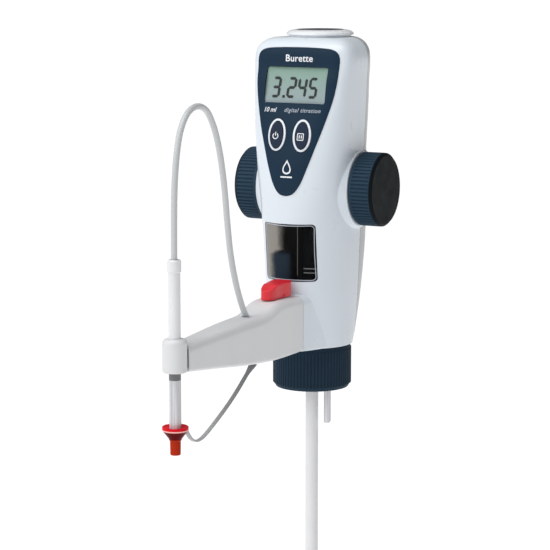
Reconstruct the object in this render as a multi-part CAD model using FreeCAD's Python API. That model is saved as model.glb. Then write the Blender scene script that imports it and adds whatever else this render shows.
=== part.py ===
import FreeCAD, Part
import math
import os

os.makedirs("parts", exist_ok=True)

# Digital bottle-top burette with two handwheels, a delivery arm and a hanging titrating tube.
# Millimetres, +Z up. The origin is the centre of the screw collar's bottom opening, the display
# faces -Y, and the handwheels turn about an axis along X. "t" in a name is a distance towards -Y.

V = FreeCAD.Vector
Z_AXIS = V(0, 0, 1)
Y_AXIS = V(0, 1, 0)
X_AXIS = V(1, 0, 0)

# ---- driving dimensions ----
# screw collar
COLLAR_R = 27.5
COLLAR_H = 30.0
COLLAR_RIBS = 72
THREAD_R = 22.6
THREAD_L = 20.0
COLLAR_SEAT_Z = 27.6
SEAT_R = 23.6
LIP_R = 19.5
FLANGE_R = 22.3
NECK_R = 16.0

# housing: height, half width, front depth, front squareness, rear depth, rear squareness
HOUSING_KEYS = (
    (31.0, 28.4, 29.6, 2.0, 28.4, 2.0),
    (50.0, 29.3, 33.5, 2.0, 30.2, 2.75),
    (70.0, 30.2, 38.6, 2.0, 32.4, 3.3),
    (97.0, 31.2, 41.6, 2.0, 34.8, 3.8),
    (118.0, 32.0, 42.4, 2.1, 35.4, 3.8),
    (140.0, 33.0, 41.6, 2.4, 35.6, 3.4),
    (165.0, 33.9, 38.2, 3.1, 35.4, 2.9),
    (190.0, 35.4, 32.6, 4.0, 35.8, 2.8),
    (213.0, 36.5, 26.8, 4.9, 36.0, 2.7),
    (230.4, 37.1, 22.9, 5.3, 36.0, 2.7),
)
HOUSING_Z0 = 31.0
HOUSING_Z1 = 230.4
DOME_R = 12.8
DOME_REAR = 0.30
TOP_Z = HOUSING_Z1 + DOME_R
WALL = 2.2
SEAM_Y = 11.0

# drive
DRIVE_Y = 7.3
DRIVE_Z = 139.7
SHAFT_R = 3.0
MODULE = 1.0
PINION_TEETH = 14
PINION_HALF = 3.0
PRESSURE = math.radians(20.0)
BACKLASH = 0.12
WHEEL_R = 25.4
WHEEL_X0 = 35.1
WHEEL_X1 = 52.6
WHEEL_RIBS = 60
BOSS_X = 34.7
BOSS_R = 26.0

# metering cylinder and piston
BORE_R = 7.3
CYL_R = 10.5
CYL_Z0 = 60.5
CYL_Z1 = 128.0
PISTON_Z0 = 63.2
PISTON_H = 7.5
STROKE = 60.0
ROD_R = 6.0
ROD_TOP = 158.0

# display panel frame: a plane that leans back with the housing front
PANEL_Y = -27.0
PANEL_Z = 212.0
PANEL_TILT = math.radians(13.5)
LCD_W = 46.0
LCD_H = 25.0
BUTTON_X = 9.4
BUTTON_H = -34.6
BUTTON_TRAVEL = 0.8

# inspection window
WINDOW_X = 19.3
WINDOW_Z0 = 79.0
WINDOW_Z1 = 118.8

# delivery arm: distance forward, half width, bottom, top
ARM_KEYS = (
    (41.4, 13.4, 31.9, 69.6),
    (54.0, 13.2, 31.9, 70.2),
    (66.0, 12.9, 32.0, 70.3),
    (75.0, 12.7, 32.2, 69.3),
    (83.0, 12.5, 32.5, 66.9),
    (91.0, 12.2, 33.0, 64.8),
    (101.0, 11.8, 33.8, 64.0),
    (120.0, 11.1, 35.7, 63.9),
    (145.0, 10.1, 38.8, 63.2),
    (168.0, 9.2, 41.6, 62.0),
    (190.0, 8.4, 44.2, 60.6),
)
ARM_WALL = 2.0
KNOB_T = 54.5
KNOB_FRONT = 17.8
KNOB_REAR = 12.9
KNOB_Z = 70.6
HOLE_T = 98.5
HOLE_HALF_L = 5.3
HOLE_HALF_W = 3.4

# titrating tube
TUBE_T = 194.0
HOLDER_R = 7.85
HOLDER_Z0 = 44.4
HOLDER_Z1 = 65.4
SLEEVE_R = 3.8
SLEEVE_TOP = 114.8
SLEEVE_LOW = 44.0
BAND_LOW = 39.4
TUBE_R = 3.78
TUBE_BORE = 1.2
SOCKET_R = 2.4
SOCKET_Z = 104.0
CAP_Z = 8.6

# hose: centre line in the arm's middle plane as (forward, height), and its size
HOSE_R = 2.0
HOSE_ROUTE = (
    (66.1, 50.5),
    (80.0, 51.0),
    (95.0, 58.5),
    (108.5, 76.5),
    (120.0, 104.0),
    (124.8, 128.0),
    (129.3, 158.0),
    (137.5, 184.8),
    (147.73, 200.57),
    (155.76, 205.77),
    (165.2, 207.27),
    (174.44, 204.79),
    (181.9, 198.75),
    (188.3, 187.2),
    (192.9, 163.5),
    (194.0, 134.5),
    (194.0, 106.0),
)

# strap between the arm and the tip cap
STRAP_LINE = (
    (89.6, 30.4),
    (97.5, 26.0),
    (107.6, 19.5),
    (118.3, 13.2),
    (131.0, 6.9),
    (143.5, 1.4),
    (153.8, -2.8),
    (161.5, -4.9),
    (168.6, -4.8),
    (174.2, -2.4),
    (178.4, 1.6),
    (181.6, 6.0),
    (185.4, 8.6),
)
STRAP_W = 2.6
STRAP_T = 1.4

# filling tube
FILL_R = 4.5
FILL_BORE = 3.5
FILL_Z0 = -150.0
FILL_LOW_R = 3.42
FILL_LOW_Z = -166.0


# ---- helpers ----
def export(name, shape):
    if isinstance(shape, (list, tuple)):
        shape = Part.makeCompound(list(shape))
    solids = shape.Solids
    volume = sum(s.Volume for s in solids)
    print(name, "solids", len(solids), "volume", round(volume, 2), "valid", shape.isValid())
    shape.exportStep("parts/" + name + ".step")


def cyl(r, z0, z1, x=0.0, y=0.0):
    return Part.makeCylinder(r, z1 - z0, V(x, y, z0), Z_AXIS)


def cyl_x(r, x0, x1, y=DRIVE_Y, z=DRIVE_Z):
    return Part.makeCylinder(r, x1 - x0, V(x0, y, z), X_AXIS)


def cyl_y(r, y0, y1, x=0.0, z=0.0):
    return Part.makeCylinder(r, y1 - y0, V(x, y0, z), Y_AXIS)


def tube(r_out, r_in, z0, z1, x=0.0, y=0.0):
    return cyl(r_out, z0, z1, x, y).cut(cyl(r_in, z0 - 1, z1 + 1, x, y))


def box(x0, x1, y0, y1, z0, z1):
    return Part.makeBox(x1 - x0, y1 - y0, z1 - z0, V(x0, y0, z0))


def revolve(points, x=0.0, y=0.0):
    """Solid of revolution about a vertical axis from (radius, height) points."""
    wire = Part.makePolygon([V(r + x, y, z) for r, z in points] + [V(points[0][0] + x, y, points[0][1])])
    return Part.Face(wire).revolve(V(x, y, 0), Z_AXIS, 360)


def revolve_x(points, y=DRIVE_Y, z=DRIVE_Z):
    """Solid of revolution about the drive axis from (x, radius) points."""
    wire = Part.makePolygon([V(x, y, z + r) for x, r in points] + [V(points[0][0], y, z + points[0][1])])
    return Part.Face(wire).revolve(V(0, y, z), X_AXIS, 360)


def fused(shapes):
    body = shapes[0]
    for s in shapes[1:]:
        body = body.fuse(s)
    return body.removeSplitter()


def mix(keys, at):
    """Smooth interpolation of every column of a key table at one value of the first column."""
    at = min(max(at, keys[0][0]), keys[-1][0])
    i = 0
    while i < len(keys) - 2 and at > keys[i + 1][0]:
        i += 1
    k0, k1 = keys[i], keys[i + 1]
    ka = keys[max(i - 1, 0)]
    kb = keys[min(i + 2, len(keys) - 1)]
    h = k1[0] - k0[0]
    u = (at - k0[0]) / h
    out = []
    for c in range(1, len(k0)):
        m0 = (k1[c] - ka[c]) / (k1[0] - ka[0]) * h
        m1 = (kb[c] - k0[c]) / (kb[0] - k0[0]) * h
        a = (2 * u**3 - 3 * u**2 + 1) * k0[c] + (u**3 - 2 * u**2 + u) * m0
        b = (-2 * u**3 + 3 * u**2) * k1[c] + (u**3 - u**2) * m1
        out.append(a + b)
    return out


def half_curve(w, depth, power, z, side, steps=20):
    """One half of a superellipse, from X=+w round to X=-w; side is -1 for the front half."""
    points = []
    for i in range(steps + 1):
        a = math.pi * i / steps
        c, s = abs(math.cos(a)), abs(math.sin(a))
        r = ((c / w) ** power + (s / depth) ** power) ** (-1.0 / power)
        x = r * math.cos(a)
        points.append(V(x, side * r * s, z))
    curve = Part.BSplineCurve()
    knots = [float(i) for i in range(steps + 1)]
    curve.interpolate(Points=points, Parameters=knots)
    return curve.toShape()


def plan_wire(z, grow, inset):
    w, df, nf, dr, nr = mix(HOUSING_KEYS, z)
    w += grow - inset
    df += grow - inset
    dr += grow - inset * DOME_REAR
    at = z + inset_height(inset, grow)
    return Part.Wire([half_curve(w, df, nf, at, -1), half_curve(w, dr, nr, at, 1)])


def inset_height(inset, grow):
    """Height above the start of the dome at which the dome has come in by inset."""
    r = DOME_R + grow
    if inset <= 0:
        return 0.0
    share = min(1.0, inset / r)
    return r * math.sqrt(max(0.0, 1 - (1 - share) ** 2))


def body_loft(grow, z0=HOUSING_Z0, z1=None):
    """Solid of the housing's outside, grown outwards by grow, from z0 up to the dome or to z1."""
    top = HOUSING_Z1 if z1 is None else z1
    count = max(4, int((top - z0) / 13.0))
    wires = []
    for i in range(count + 1):
        z = z0 + (top - z0) * i / count
        wires.append(plan_wire(z, grow, 0.0))
    if z1 is None:
        r = DOME_R + grow
        for deg in (24, 42, 58, 72, 82, 90):
            wires.append(plan_wire(top, grow, r * (1 - math.cos(math.radians(deg)))))
    return Part.makeLoft(wires, True, False)


def rounded_box_wire(half_w, z0, z1, r_top, r_bottom, y):
    """Upright rounded rectangle at one distance forward."""
    k = math.sqrt(0.5)
    left, right = -half_w, half_w
    edges = [
        Part.LineSegment(V(left + r_bottom, y, z0), V(right - r_bottom, y, z0)).toShape(),
        Part.Arc(
            V(right - r_bottom, y, z0),
            V(right - r_bottom + r_bottom * k, y, z0 + r_bottom - r_bottom * k),
            V(right, y, z0 + r_bottom),
        ).toShape(),
        Part.LineSegment(V(right, y, z0 + r_bottom), V(right, y, z1 - r_top)).toShape(),
        Part.Arc(
            V(right, y, z1 - r_top),
            V(right - r_top + r_top * k, y, z1 - r_top + r_top * k),
            V(right - r_top, y, z1),
        ).toShape(),
        Part.LineSegment(V(right - r_top, y, z1), V(left + r_top, y, z1)).toShape(),
        Part.Arc(
            V(left + r_top, y, z1),
            V(left + r_top - r_top * k, y, z1 - r_top + r_top * k),
            V(left, y, z1 - r_top),
        ).toShape(),
        Part.LineSegment(V(left, y, z1 - r_top), V(left, y, z0 + r_bottom)).toShape(),
        Part.Arc(
            V(left, y, z0 + r_bottom),
            V(left + r_bottom - r_bottom * k, y, z0 + r_bottom - r_bottom * k),
            V(left + r_bottom, y, z0),
        ).toShape(),
    ]
    return Part.Wire(edges)


def rounded_plate(half_x, half_z, r, y0, y1, x=0.0, z=0.0):
    """Flat plate with rounded corners, thick along Y."""
    wire = rounded_box_wire(half_x, z - half_z, z + half_z, r, r, y0)
    plate = Part.Face(wire).extrude(V(0, y1 - y0, 0))
    plate.translate(V(x, 0, 0))
    return plate


def oval_plate(half_x, half_z, y0, y1, x=0.0, z=0.0):
    """Flat plate with an upright elliptical outline, thick along Y."""
    outline = Part.Ellipse(V(x, y0, z + half_z), V(x + half_x, y0, z), V(x, y0, z))
    return Part.Face(Part.Wire(outline.toShape())).extrude(V(0, y1 - y0, 0))


def leaning(shape):
    """Places a shape built in the panel's own frame (X, depth, up the slope) on the housing."""
    placed = shape.copy()
    placed.rotate(V(0, 0, 0), X_AXIS, -math.degrees(PANEL_TILT))
    placed.translate(V(0, PANEL_Y, PANEL_Z))
    return placed


def ribbed_points(r_out, r_in, count):
    """Points round a ribbed circle, four to a rib."""
    points = []
    step = 2 * math.pi / count
    for i in range(count):
        a = i * step
        for share, r in ((0.05, r_in), (0.22, r_out), (0.68, r_out), (0.85, r_in)):
            b = a + share * step
            points.append((r * math.cos(b), r * math.sin(b)))
    return points


# ---- collar, gasket and valve block ----
def make_collar():
    ring = [V(x, y, 2.6) for x, y in ribbed_points(COLLAR_R, COLLAR_R - 0.55, COLLAR_RIBS)]
    ribs = Part.Face(Part.makePolygon(ring + [ring[0]])).extrude(V(0, 0, COLLAR_H - 5.0))
    low = revolve([(0, 0), (COLLAR_R - 2.0, 0), (COLLAR_R - 0.4, 2.7), (0, 2.7)])
    z = COLLAR_H
    high = revolve([(0, z - 2.5), (COLLAR_R - 0.5, z - 2.5), (COLLAR_R - 0.9, z), (0, z)])
    body = fused([low, ribs, high])
    body = body.cut(cyl(THREAD_R, -1, THREAD_L))
    body = body.cut(cyl(SEAT_R, THREAD_L, COLLAR_SEAT_Z))
    return body.cut(cyl(LIP_R, 10, COLLAR_H + 1))


def make_valve_block():
    body = fused(
        [
            cyl(8.0, 4.0, 24.0),
            cyl(FLANGE_R, 23.0, 27.2),
            cyl(19.1, 27.0, 31.0),
            cyl(25.4, 30.6, 34.0),
            cyl(NECK_R, 33.5, 58.0),
            cyl(14.6, 57.5, CYL_Z0 - 0.02),
            cyl_y(8.5, -41.5, -10.0, 0, 50.5),
            cyl_y(6.0, 10.0, 27.5, 0, 45.0),
        ]
    )
    body = body.cut(cyl(FILL_R, 3.0, 14.0))
    body = body.cut(cyl(3.2, 13.0, 20.5))
    body = body.cut(cyl(1.6, 19.0, CYL_Z0 + 1))
    body = body.cut(cyl_y(1.6, -42.0, 0.0, 0, 50.5))
    body = body.cut(cyl_y(3.05, 18.0, 28.0, 0, 45.0))
    body = body.cut(cyl_y(1.5, 11.0, 19.0, 0, 45.0))
    body = body.cut(cyl(1.5, 22.0, 45.0, 0, 12.0))
    body = body.cut(cyl(2.5, 22.0, 27.0, 12.0, 0.0))
    return body


def make_inlet_seat():
    return revolve([(1.6, 14.02), (3.18, 14.02), (3.18, 16.0), (2.4, 16.0), (1.6, 15.0)])


def make_recirculation_tube():
    """Short return tube that hangs beside the filling tube."""
    body = tube(2.45, 1.5, -26.0, 26.6, 12.0, 0.0)
    tip = box(9.0, 15.0, -3.0, 3.0, -2.0, 2.0)
    tip.rotate(V(12, 0, 0), X_AXIS, 35)
    tip.translate(V(0, 0, -27.5))
    return body.cut(tip)


# ---- metering unit ----
def make_cylinder_nut():
    body = tube(14.4, CYL_R + 0.02, CYL_Z0, 71.0)
    for i in range(12):
        groove = cyl(0.9, CYL_Z0 - 1, 72.0, 14.6, 0.0)
        groove.rotate(V(0, 0, 0), Z_AXIS, 30 * i)
        body = body.cut(groove)
    return body


def involute_point(base, t):
    return base * (math.cos(t) + t * math.sin(t)), base * (math.sin(t) - t * math.cos(t))


def make_pinion():
    """Involute pinion; one tooth points to -Y, into a rack space."""
    pitch_r = MODULE * PINION_TEETH / 2.0
    base = pitch_r * math.cos(PRESSURE)
    tip = pitch_r + MODULE
    root = pitch_r - MODULE
    inv = math.tan(PRESSURE) - PRESSURE
    half = math.pi / (2 * PINION_TEETH) - BACKLASH / (2 * pitch_r) + inv
    t_tip = math.sqrt((tip / base) ** 2 - 1)
    flank = []
    for i in range(7):
        x, y = involute_point(base, t_tip * i / 6.0)
        flank.append((math.hypot(x, y), half - math.atan2(y, x)))
    outline = []
    for k in range(PINION_TEETH):
        mid = -math.pi / 2 + 2 * math.pi * k / PINION_TEETH
        tooth = [(root, mid - half - 0.02)]
        tooth += [(r, mid - a) for r, a in flank]
        tooth += [(r, mid + a) for r, a in reversed(flank)]
        tooth.append((root, mid + half + 0.02))
        outline += tooth
    # the plane of the outline is YZ: angle 0 along +Z, -pi/2 along -Y
    pts = [V(-PINION_HALF, DRIVE_Y + r * math.sin(a), DRIVE_Z + r * math.cos(a)) for r, a in outline]
    body = Part.Face(Part.makePolygon(pts + [pts[0]])).extrude(V(2 * PINION_HALF, 0, 0))
    hub = cyl_x(4.8, -PINION_HALF - 3.0, PINION_HALF + 3.0)
    return fused([body, hub]).cut(cyl_x(SHAFT_R, -20, 20))


def make_rack():
    """Round piston rod with straight rack teeth cut in its rear side."""
    pitch_y = DRIVE_Y - MODULE * PINION_TEETH / 2.0
    z_low = PISTON_Z0 + PISTON_H
    rod = cyl(ROD_R, z_low, ROD_TOP)
    rod = rod.cut(box(-10, 10, pitch_y + 0.8 * MODULE, 10, z_low - 1, ROD_TOP + 1))
    step = math.pi * MODULE
    tan = math.tan(PRESSURE)
    deep = 1.25 * MODULE
    high = 0.8 * MODULE + 0.4
    first = int(math.ceil((z_low + 2.6 - DRIVE_Z) / step))
    last = int(math.floor((DRIVE_Z + 10.0 - DRIVE_Z) / step))
    for k in range(first, last + 1):
        z = DRIVE_Z + k * step
        at_pitch = step / 4.0
        wide = at_pitch + high * tan
        narrow = at_pitch - deep * tan
        pts = [
            V(-10, pitch_y + high, z - wide),
            V(-10, pitch_y + high, z + wide),
            V(-10, pitch_y - deep, z + narrow),
            V(-10, pitch_y - deep, z - narrow),
        ]
        rod = rod.cut(Part.Face(Part.makePolygon(pts + [pts[0]])).extrude(V(20, 0, 0)))
    return rod


def make_rack_guide():
    """Guide eye above the pinion, with two wings that reach the housing's side walls."""
    body = fused([cyl(9.0, 162.5, 171.0), box(-33.0, 33.0, -7.0, 5.0, 164.0, 169.5)])
    body = body.common(body_loft(-WALL - 0.02, 150.0, 185.0))
    return body.cut(cyl(ROD_R + 0.06, 150, 180))


# ---- housing ----
def boss(side):
    """Flared round boss behind a handwheel."""
    x = BOSS_X
    pts = [(20.0, 0.0), (20.0, 31.5), (x - 6.2, 30.2), (x - 2.7, 27.9), (x, BOSS_R), (x, 0.0)]
    body = revolve_x(pts)
    if side < 0:
        body = body.mirror(V(0, 0, 0), X_AXIS)
    return body


def stub():
    """Short socket on the housing front that meets the delivery arm."""
    sections = (
        (12.0, 24.0, 31.0, 75.0, 10.0),
        (24.0, 19.5, 31.0, 73.2, 8.5),
        (33.0, 15.2, 31.0, 71.0, 7.0),
        (41.0, 13.5, 31.6, 69.7, 5.6),
    )
    wires = []
    for t, w, z0, z1, r in sections:
        wires.append(rounded_box_wire(w, z0, z1, r, 1.6, -t))
    return Part.makeLoft(wires, True, False)


def screw_places():
    return [(-28.4, 186.0), (28.4, 186.0), (-21.6, 56.0), (21.6, 56.0)]


def make_housing():
    outer = body_loft(0.0)
    inner = body_loft(-WALL)
    front_bump = stub()
    solid = outer.fuse(boss(1)).fuse(boss(-1)).fuse(front_bump)
    hollow = inner.fuse(cyl(26.0, 29.0, 40.0))
    hollow_stub = rounded_plate(11.0, 17.0, 4.0, -42.0, -8.0, 0, 50.6)
    shell = solid.cut(hollow).cut(hollow_stub)
    shell = shell.cut(cyl_x(6.0, -60, 60))
    window_half = (WINDOW_Z1 - WINDOW_Z0) / 2
    window_mid = (WINDOW_Z1 + WINDOW_Z0) / 2
    shell = shell.cut(rounded_plate(WINDOW_X, window_half, 2.6, -60.0, -12.0, 0, window_mid))
    posts_front = []
    posts_rear = []
    for x, z in screw_places():
        posts_front.append(cyl_y(3.4, -45.0, SEAM_Y - 0.02, x, z))
        posts_rear.append(cyl_y(4.4, SEAM_Y + 0.02, 45.0, x, z))
    front_zone = box(-80, 80, -80, SEAM_Y - 0.02, 0, 300)
    rear_zone = box(-80, 80, SEAM_Y + 0.02, 90, 0, 300)
    front = shell.common(front_zone)
    rear = shell.common(rear_zone)
    for p in posts_front:
        front = front.fuse(p.common(outer))
    for p in posts_rear:
        rear = rear.fuse(p.common(outer))
    for x, z in screw_places():
        front = front.cut(cyl_y(1.55, -4.0, 20.0, x, z))
        rear = rear.cut(cyl_y(1.7, 5.0, 45.0, x, z))
        rear = rear.cut(cyl_y(3.2, 18.0, 45.0, x, z))
    door_hole = rounded_plate(13.0, 26.0, 2.5, 20.0, 60.0, 0, 187.5)
    rear = rear.cut(door_hole)
    rear = rear.cut(cyl_y(6.3, 20.0, 60.0, 0, 45.0))
    # room for the display panel and what is behind it
    skin = body_loft(3.0, 125.0).cut(body_loft(-0.8, 124.0))
    front = front.cut(panel_prism(0.12).common(skin))
    front = front.cut(leaning(rounded_plate(LCD_W / 2 + 2.2, LCD_H / 2 + 2.2, 2.0, -8.0, 9.0)))
    for x in (-BUTTON_X, BUTTON_X):
        front = front.cut(leaning(oval_plate(6.2, 10.6, -9.0, 9.0, x, BUTTON_H)))
    return front, rear


def panel_prism(grow):
    """Upright prism with the outline of the display panel, a rounded shield."""
    side = (
        (7.5, 237.1),
        (15.0, 236.9),
        (21.5, 236.5),
        (26.2, 235.5),
        (29.4, 233.2),
        (30.7, 229.0),
        (30.4, 218.0),
        (28.6, 204.0),
        (25.6, 191.5),
        (21.6, 178.0),
        (17.2, 164.5),
        (13.0, 152.5),
        (9.3, 143.8),
        (5.2, 139.2),
    )
    loop = [(0.0, 237.15)] + list(side) + [(0.0, 137.8)]
    loop += [(-x, z) for x, z in reversed(side)]
    mid_z = 195.0
    pts = []
    for x, z in loop:
        d = math.hypot(x, z - mid_z)
        k = 1 + grow / d
        pts.append(V(x * k, -60.0, mid_z + (z - mid_z) * k))
    curve = Part.BSplineCurve()
    curve.interpolate(Points=pts, PeriodicFlag=True)
    return Part.Face(Part.Wire(curve.toShape())).extrude(V(0, 50.0, 0))


def make_panel():
    skin = body_loft(0.45, 125.0).cut(body_loft(-0.8, 124.0))
    panel = skin.common(panel_prism(0.0))
    panel = panel.cut(leaning(rounded_plate(LCD_W / 2, LCD_H / 2, 1.4, -8.0, 8.0)))
    for x in (-BUTTON_X, BUTTON_X):
        panel = panel.cut(leaning(oval_plate(6.2, 10.6, -9.0, 9.0, x, BUTTON_H)))
    return panel


def make_window():
    skin = body_loft(-0.35, 70.0, 125.0).cut(body_loft(-1.9, 69.0, 126.0))
    half = (WINDOW_Z1 - WINDOW_Z0) / 2 - 0.15
    middle = (WINDOW_Z1 + WINDOW_Z0) / 2
    plate = rounded_plate(WINDOW_X - 0.15, half, 2.5, -60.0, -12.0, 0, middle)
    return skin.common(plate)


def make_door():
    skin = body_loft(0.0, 150.0, 225.0).cut(body_loft(-2.0, 149.0, 226.0))
    plate = rounded_plate(12.65, 25.65, 2.3, 20.0, 60.0, 0, 187.5)
    door = skin.common(plate)
    for i in range(4):
        rib = box(-7.0, 7.0, 33.0, 40.0, 204.0 + 2.2 * i, 205.0 + 2.2 * i)
        door = door.cut(rib.common(body_loft(1.0, 195.0, 220.0).cut(body_loft(-0.6, 194.0, 221.0))))
    return door


def make_top_ring():
    y = 11.3
    pts = [
        (15.2, 0.02),
        (21.5, 0.02),
        (21.5, 1.1),
        (23.0, 1.4),
        (23.3, 2.0),
        (23.0, 2.8),
        (21.6, 3.9),
        (19.4, 4.6),
        (16.7, 4.9),
        (16.7, 3.5),
        (15.2, 3.5),
    ]
    return revolve([(r, TOP_Z + z) for r, z in pts], 0.0, y)


# ---- buttons and electronics ----
def button_key(x):
    """Oval key in the panel's frame, with a stem behind it."""
    head = oval_plate(4.8, 9.2, -2.1, 2.6, x, BUTTON_H)
    stem = cyl_y(1.8, 2.5, 3.9, x, BUTTON_H)
    return leaning(head.fuse(stem))


def button_ring(x):
    outline = leaning(oval_plate(6.6, 11.0, -6.0, 4.0, x, BUTTON_H))
    neck_line = leaning(oval_plate(6.05, 10.45, -6.0, 4.0, x, BUTTON_H))
    hole = leaning(oval_plate(5.2, 9.6, -9.0, 9.0, x, BUTTON_H))
    outside = body_loft(1.15, 125.0)
    ring = outside.cut(body_loft(0.47, 125.0)).common(outline)
    neck = outside.cut(body_loft(-2.0, 125.0)).common(neck_line)
    return ring.fuse(neck).removeSplitter().cut(hole)


# ---- handwheels ----
def make_wheel(side):
    x0, x1, r = WHEEL_X0, WHEEL_X1, WHEEL_R
    ribbed = ribbed_points(r, r - 0.8, WHEEL_RIBS)
    ring = [V(x0 + 2.2, DRIVE_Y + a, DRIVE_Z + b) for a, b in ribbed]
    ribs = Part.Face(Part.makePolygon(ring + [ring[0]])).extrude(V(x1 - x0 - 4.8, 0, 0))
    near = revolve_x([(x0, 0), (x0, r - 0.9), (x0 + 0.7, r - 0.2), (x0 + 2.3, r - 0.2), (x0 + 2.3, 0)])
    far = revolve_x([(x1 - 2.7, 0), (x1 - 2.7, r - 0.1), (x1 - 1.6, r - 0.1), (x1, r - 1.8), (x1, 0)])
    body = fused([near, ribs, far])
    dish = revolve_x([(x0 - 1, 6.5), (x0 - 1, r - 3.2), (x1 - 3.0, r - 3.8), (x1 - 3.0, 6.5)])
    body = body.cut(dish)
    body = body.cut(cyl_x(SHAFT_R + 0.01, x0 - 1, x1 - 3.0))
    if side < 0:
        body = body.mirror(V(0, 0, 0), X_AXIS)
    return body


# ---- arm ----
def slot_column(half_w, half_l, z0, z1):
    """Upright column with a rounded slot outline round the hose's way out of the arm."""
    reach = half_l - half_w
    middle = box(-half_w, half_w, -HOLE_T - reach, -HOLE_T + reach, z0, z1)
    ends = [cyl(half_w, z0, z1, 0, -HOLE_T - reach), cyl(half_w, z0, z1, 0, -HOLE_T + reach)]
    return fused([middle] + ends)


def arm_loft(shrink, t0, t1, count):
    wires = []
    for i in range(count + 1):
        t = t0 + (t1 - t0) * i / count
        w, z0, z1 = mix(ARM_KEYS, t)
        r_top = 5.6 - shrink if t < 150 else 5.6 - shrink - (t - 150) * 0.03
        r_low = max(0.6, 2.2 - 0.6 * shrink)
        wires.append(rounded_box_wire(w - shrink, z0 + shrink, z1 - shrink, r_top, r_low, -t))
    return Part.makeLoft(wires, True, False)


def make_arm():
    outer = arm_loft(0.0, 41.4, 190.0, 18)
    inner = arm_loft(ARM_WALL, 41.4, 190.0, 18)
    shell = outer.cut(inner)
    shell = shell.cut(cyl(8.55, 30, 80, 0, -TUBE_T))
    shell = shell.cut(cyl(4.3, 60, 80, 0, -KNOB_T))
    shell = shell.cut(slot_column(HOLE_HALF_W, HOLE_HALF_L, 56.0, 80.0))
    shell = shell.cut(cyl(2.1, 28, 38, 0, -89.6))
    return shell


def make_valve_body():
    """Body of the titration valve inside the arm root, with an outlet nipple for the hose."""
    body = fused(
        [
            rounded_plate(8.6, 12.6, 2.0, -62.5, -41.6, 0, 50.5),
            cyl(8.0, 62.5, 66.4, 0, -KNOB_T),
            cyl_y(3.4, -66.0, -62.0, 0, 50.5),
        ]
    )
    body = body.cut(cyl(4.06, 44.0, 70.0, 0, -KNOB_T))
    body = body.cut(cyl_y(1.6, -70.0, -40.0, 0, 50.5))
    return body


def make_valve_plug():
    plug = cyl(4.0, 44.2, KNOB_Z, 0, -KNOB_T)
    plug = plug.cut(cyl_y(1.5, -60.0, -49.0, 0, 50.5))
    return plug


def make_knob():
    """Turning lever: a long waisted grip that rises from front to rear."""
    t_f = KNOB_T + KNOB_FRONT
    t_r = KNOB_T - KNOB_REAR
    half = ((-12.2, 3.6), (-9.6, 6.0), (-5.0, 6.9), (1.0, 6.0), (7.0, 5.4), (13.2, 4.9), (17.0, 2.9))
    plan = [(-KNOB_REAR, 0.0)] + list(half) + [(KNOB_FRONT, 0.0)]
    plan += [(a, -b) for a, b in reversed(half)]
    outline = Part.BSplineCurve()
    outline.interpolate(Points=[V(b, -KNOB_T - a, KNOB_Z) for a, b in plan], PeriodicFlag=True)
    body = Part.Face(Part.Wire(outline.toShape())).extrude(V(0, 0, 14.0))
    side = [
        V(-9, -t_f - 1, 70.0),
        V(-9, -t_f - 1, 77.2),
        V(-9, -t_f + 1.2, 77.6),
        V(-9, -t_f + 8.5, 80.6),
        V(-9, -t_r - 2.0, 81.0),
        V(-9, -t_r + 1, 79.8),
        V(-9, -t_r + 1, 70.0),
    ]
    prism = Part.Face(Part.makePolygon(side + [side[0]])).extrude(V(18, 0, 0))
    grip = body.common(prism)
    lip = cyl(6.6, KNOB_Z, 72.4, 0, -KNOB_T)
    return grip.fuse(lip).removeSplitter()


def make_bar():
    bar = rounded_plate(3.4, 4.4, 1.0, -188.0, -112.0, 0, 52.6)
    bar = bar.cut(cyl(HOLDER_R, 30, 80, 0, -TUBE_T))
    stop = box(-5.2, 5.2, -116.0, -112.0, 47.0, 58.2)
    return bar.fuse(stop).removeSplitter()


def make_bar_guide():
    body = arm_loft(ARM_WALL + 0.1, 168.0, 184.0, 4)
    return body.cut(rounded_plate(3.46, 4.46, 1.0, -190.0, -160.0, 0, 52.6))


def make_holder():
    z0, z1, r = HOLDER_Z0, HOLDER_Z1, HOLDER_R
    pts = [
        (0, z0),
        (r - 0.5, z0),
        (r, z0 + 0.5),
        (r, z1 - 2.8),
        (r - 0.35, z1 - 1.5),
        (r - 1.2, z1 - 0.5),
        (r - 2.6, z1),
        (0, z1),
    ]
    body = revolve(pts, 0.0, -TUBE_T)
    return body.cut(cyl(SLEEVE_R + 0.07, z0 - 1, z1 + 1, 0, -TUBE_T))


def make_sleeve():
    pts = [
        (TUBE_BORE, SLEEVE_LOW),
        (SLEEVE_R, SLEEVE_LOW),
        (SLEEVE_R, SLEEVE_TOP - 8.0),
        (SLEEVE_R + 0.55, SLEEVE_TOP - 7.4),
        (SLEEVE_R + 0.55, SLEEVE_TOP - 0.9),
        (SLEEVE_R - 0.2, SLEEVE_TOP),
        (SOCKET_R, SLEEVE_TOP),
        (SOCKET_R, SOCKET_Z),
        (TUBE_BORE, SOCKET_Z),
    ]
    return revolve(pts, 0.0, -TUBE_T)


def make_cap():
    """Push-on tip cap: a flange, a cone and a closed stem."""
    z = CAP_Z
    pts = [
        (0, -8.2),
        (3.0, -8.2),
        (3.3, -7.8),
        (3.45, 1.3),
        (7.6, 6.6),
        (8.3, 7.4),
        (8.3, z + 1.0),
        (7.9, z + 1.3),
        (7.2, z + 0.7),
        (4.1, z + 0.4),
        (4.1, 1.8),
        (2.6, -1.0),
        (2.3, -6.4),
        (0, -6.4),
    ]
    return revolve(pts, 0.0, -TUBE_T)


# ---- hose and strap ----
def route_points(route):
    return [V(0, -t, z) for t, z in route]


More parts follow.
